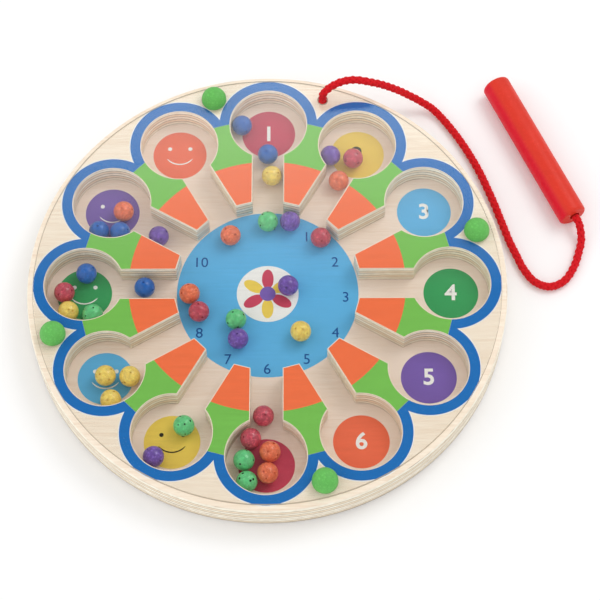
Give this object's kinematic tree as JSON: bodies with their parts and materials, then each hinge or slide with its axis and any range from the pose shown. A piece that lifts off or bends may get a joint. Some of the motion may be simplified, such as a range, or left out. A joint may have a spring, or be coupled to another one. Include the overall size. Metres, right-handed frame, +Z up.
{
  "type": "magnetic maze board",
  "caption": "Round wooden magnetic maze board: painted beads under a clear cover roll through lanes into pockets, led by a magnetic wand on a cord.",
  "frame": {"origin": "middle of the board's flat underside", "axes": "+Z up out of the cover, +Y to the pocket at twelve o'clock, +X to the pocket at three o'clock"},
  "size_m": [0.3531, 0.3055, 0.0425],
  "materials": {
    "birch": "clear-lacquered birch plywood",
    "clear_acrylic": "polished, clear",
    "peg_paint": "glossy green",
    "wand_paint": "satin red paint on turned wood",
    "magnet_metal": "nickel-plated magnet",
    "cord_braid": "braided red cord",
    "red_bead_paint": "glossy paint on a turned bead",
    "orange_bead_paint": "glossy paint on a turned bead",
    "yellow_bead_paint": "glossy paint on a turned bead",
    "green_bead_paint": "glossy paint on a turned bead",
    "blue_bead_paint": "glossy paint on a turned bead",
    "purple_bead_paint": "glossy paint on a turned bead"
  },
  "bodies": {
    "board": {"base_board": "birch", "maze_plate": "birch", "clear_cover": "clear_acrylic", "cover_peg_1": "peg_paint", "cover_peg_2": "peg_paint", "cover_peg_3": "peg_paint", "cover_peg_4": "peg_paint", "cord_knot": "cord_braid", "cord": "cord_braid"},
    "wand": {"wand_handle": "wand_paint", "wand_magnet": "magnet_metal"},
    "blue_bead_1": {"blue_bead_1": "blue_bead_paint"},
    "purple_bead_1": {"purple_bead_1": "purple_bead_paint"},
    "red_bead_1": {"red_bead_1": "red_bead_paint"},
    "green_bead_1": {"green_bead_1": "green_bead_paint"},
    "green_bead_2": {"green_bead_2": "green_bead_paint"},
    "red_bead_2": {"red_bead_2": "red_bead_paint"},
    "orange_bead_1": {"orange_bead_1": "orange_bead_paint"},
    "orange_bead_2": {"orange_bead_2": "orange_bead_paint"},
    "green_bead_3": {"green_bead_3": "green_bead_paint"},
    "purple_bead_2": {"purple_bead_2": "purple_bead_paint"},
    "yellow_bead_1": {"yellow_bead_1": "yellow_bead_paint"},
    "yellow_bead_2": {"yellow_bead_2": "yellow_bead_paint"},
    "yellow_bead_3": {"yellow_bead_3": "yellow_bead_paint"},
    "blue_bead_2": {"blue_bead_2": "blue_bead_paint"},
    "yellow_bead_4": {"yellow_bead_4": "yellow_bead_paint"},
    "green_bead_4": {"green_bead_4": "green_bead_paint"},
    "red_bead_3": {"red_bead_3": "red_bead_paint"},
    "blue_bead_3": {"blue_bead_3": "blue_bead_paint"},
    "blue_bead_4": {"blue_bead_4": "blue_bead_paint"},
    "orange_bead_3": {"orange_bead_3": "orange_bead_paint"},
    "blue_bead_5": {"blue_bead_5": "blue_bead_paint"},
    "yellow_bead_5": {"yellow_bead_5": "yellow_bead_paint"},
    "orange_bead_4": {"orange_bead_4": "orange_bead_paint"},
    "red_bead_4": {"red_bead_4": "red_bead_paint"},
    "blue_bead_6": {"blue_bead_6": "blue_bead_paint"},
    "purple_bead_3": {"purple_bead_3": "purple_bead_paint"},
    "yellow_bead_6": {"yellow_bead_6": "yellow_bead_paint"},
    "green_bead_5": {"green_bead_5": "green_bead_paint"},
    "green_bead_6": {"green_bead_6": "green_bead_paint"},
    "purple_bead_4": {"purple_bead_4": "purple_bead_paint"},
    "purple_bead_5": {"purple_bead_5": "purple_bead_paint"},
    "purple_bead_6": {"purple_bead_6": "purple_bead_paint"},
    "red_bead_5": {"red_bead_5": "red_bead_paint"},
    "red_bead_6": {"red_bead_6": "red_bead_paint"},
    "orange_bead_5": {"orange_bead_5": "orange_bead_paint"},
    "orange_bead_6": {"orange_bead_6": "orange_bead_paint"}
  },
  "joints": [
    {"name": "wand_lift", "type": "slide", "parent": "board", "child": "wand", "axis": [0, 0, 1], "range_m": [0, 0.12]},
    {"name": "blue_bead_1_roll", "type": "slide", "parent": "board", "child": "blue_bead_1", "axis": [0.9659, -0.2588, 0], "range_m": [0, 0.035]},
    {"name": "purple_bead_1_roll", "type": "slide", "parent": "board", "child": "purple_bead_1", "axis": [0.5, 0.866, 0], "range_m": [0, 0.023]},
    {"name": "red_bead_1_roll", "type": "slide", "parent": "board", "child": "red_bead_1", "axis": [0.7071, 0.7071, 0], "range_m": [0, 0.023]},
    {"name": "green_bead_1_roll", "type": "slide", "parent": "board", "child": "green_bead_1", "axis": [-1, 0, 0], "range_m": [0, 0.004]},
    {"name": "green_bead_2_spin", "type": "hinge", "parent": "board", "child": "green_bead_2", "pos_m": [-0.01168, -0.12803, 0.0138], "axis": [0, 0, 1], "continuous": true},
    {"name": "red_bead_2_roll", "type": "slide", "parent": "board", "child": "red_bead_2", "axis": [0.866, 0.5, 0], "range_m": [0, 0.004]},
    {"name": "orange_bead_1_roll", "type": "slide", "parent": "board", "child": "orange_bead_1", "axis": [1, 0, 0], "range_m": [0, 0.014]},
    {"name": "orange_bead_2_roll", "type": "slide", "parent": "board", "child": "orange_bead_2", "axis": [1, 0, 0], "range_m": [0, 0.015]},
    {"name": "green_bead_3_roll", "type": "slide", "parent": "board", "child": "green_bead_3", "axis": [0.5, 0.866, 0], "range_m": [0, 0.053]},
    {"name": "purple_bead_2_roll", "type": "slide", "parent": "board", "child": "purple_bead_2", "axis": [0.9659, 0.2588, 0], "range_m": [0, 0.029]},
    {"name": "yellow_bead_1_roll", "type": "slide", "parent": "board", "child": "yellow_bead_1", "axis": [0, 1, 0], "range_m": [0, 0.019]},
    {"name": "yellow_bead_2_roll", "type": "slide", "parent": "board", "child": "yellow_bead_2", "axis": [0.2588, 0.9659, 0], "range_m": [0, 0.017]},
    {"name": "yellow_bead_3_roll", "type": "slide", "parent": "board", "child": "yellow_bead_3", "axis": [-0.9659, 0.2588, 0], "range_m": [0, 0.016]},
    {"name": "blue_bead_2_roll", "type": "slide", "parent": "board", "child": "blue_bead_2", "axis": [1, 0, 0], "range_m": [0, 0.013]},
    {"name": "yellow_bead_4_roll", "type": "slide", "parent": "board", "child": "yellow_bead_4", "axis": [0.9397, -0.342, 0], "range_m": [0, 0.002]},
    {"name": "green_bead_4_roll", "type": "slide", "parent": "board", "child": "green_bead_4", "axis": [0.7071, 0.7071, 0], "range_m": [0, 0.026]},
    {"name": "red_bead_3_roll", "type": "slide", "parent": "board", "child": "red_bead_3", "axis": [0, 1, 0], "range_m": [0, 0.012]},
    {"name": "blue_bead_3_roll", "type": "slide", "parent": "board", "child": "blue_bead_3", "axis": [0, 1, 0], "range_m": [0, 0.031]},
    {"name": "blue_bead_4_roll", "type": "slide", "parent": "board", "child": "blue_bead_4", "axis": [0.9397, 0.342, 0], "range_m": [0, 0.005]},
    {"name": "orange_bead_3_roll", "type": "slide", "parent": "board", "child": "orange_bead_3", "axis": [-1, 0, 0], "range_m": [0, 0.024]},
    {"name": "blue_bead_5_roll", "type": "slide", "parent": "board", "child": "blue_bead_5", "axis": [0, 1, 0], "range_m": [0, 0.035]},
    {"name": "yellow_bead_5_roll", "type": "slide", "parent": "board", "child": "yellow_bead_5", "axis": [0, -1, 0], "range_m": [0, 0.02]},
    {"name": "orange_bead_4_roll", "type": "slide", "parent": "board", "child": "orange_bead_4", "axis": [-0.5, -0.866, 0], "range_m": [0, 0.032]},
    {"name": "red_bead_4_roll", "type": "slide", "parent": "board", "child": "red_bead_4", "axis": [0, 1, 0], "range_m": [0, 0.12]},
    {"name": "blue_bead_6_roll", "type": "slide", "parent": "board", "child": "blue_bead_6", "axis": [-0.9659, -0.2588, 0], "range_m": [0, 0.026]},
    {"name": "purple_bead_3_roll", "type": "slide", "parent": "board", "child": "purple_bead_3", "axis": [0.866, -0.5, 0], "range_m": [0, 0.081]},
    {"name": "yellow_bead_6_roll", "type": "slide", "parent": "board", "child": "yellow_bead_6", "axis": [-0.7071, 0.7071, 0], "range_m": [0, 0.086]},
    {"name": "green_bead_5_roll", "type": "slide", "parent": "board", "child": "green_bead_5", "axis": [-0.5, -0.866, 0], "range_m": [0, 0.063]},
    {"name": "green_bead_6_roll", "type": "slide", "parent": "board", "child": "green_bead_6", "axis": [0.9659, 0.2588, 0], "range_m": [0, 0.091]},
    {"name": "purple_bead_4_roll", "type": "slide", "parent": "board", "child": "purple_bead_4", "axis": [0.2588, -0.9659, 0], "range_m": [0, 0.039]},
    {"name": "purple_bead_5_roll", "type": "slide", "parent": "board", "child": "purple_bead_5", "axis": [-0.5, -0.866, 0], "range_m": [0, 0.053]},
    {"name": "purple_bead_6_roll", "type": "slide", "parent": "board", "child": "purple_bead_6", "axis": [1, 0, 0], "range_m": [0, 0.119]},
    {"name": "red_bead_5_roll", "type": "slide", "parent": "board", "child": "red_bead_5", "axis": [-0.9659, -0.2588, 0], "range_m": [0, 0.085]},
    {"name": "red_bead_6_roll", "type": "slide", "parent": "board", "child": "red_bead_6", "axis": [0.866, 0.5, 0], "range_m": [0, 0.052]},
    {"name": "orange_bead_5_roll", "type": "slide", "parent": "board", "child": "orange_bead_5", "axis": [-0.5, 0.866, 0], "range_m": [0, 0.087]},
    {"name": "orange_bead_6_roll", "type": "slide", "parent": "board", "child": "orange_bead_6", "axis": [0.866, 0.5, 0], "range_m": [0, 0.075]}
  ]
}
